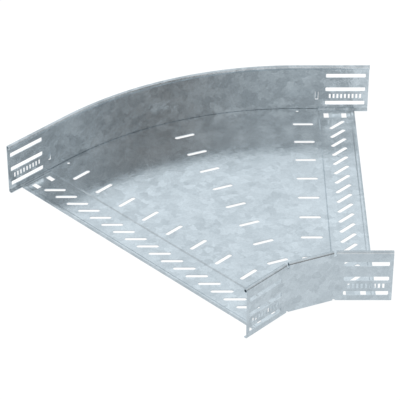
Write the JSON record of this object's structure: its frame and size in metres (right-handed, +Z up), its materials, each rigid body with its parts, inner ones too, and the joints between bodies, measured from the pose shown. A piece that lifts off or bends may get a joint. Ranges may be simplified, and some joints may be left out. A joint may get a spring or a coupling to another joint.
{
  "type": "cable tray bend",
  "caption": "Flat bend for a perforated cable tray: a slotted floor with stepped ends between a curved outer side rail and a folded inner side rail.",
  "frame": {"origin": "middle of the part's box in plan, at the floor it rests on", "axes": "+Z up; the bend is symmetric about the YZ plane, and the outer rail is on the +Y side"},
  "size_m": [0.5958, 0.537, 0.0835],
  "materials": {
    "galvanised_sheet": "hot-dip zinc with a low-contrast spangle"
  },
  "bodies": {
    "root": {"floor_plate": "galvanised_sheet", "outer_rail": "galvanised_sheet", "inner_rail": "galvanised_sheet"}
  },
  "joints": []
}
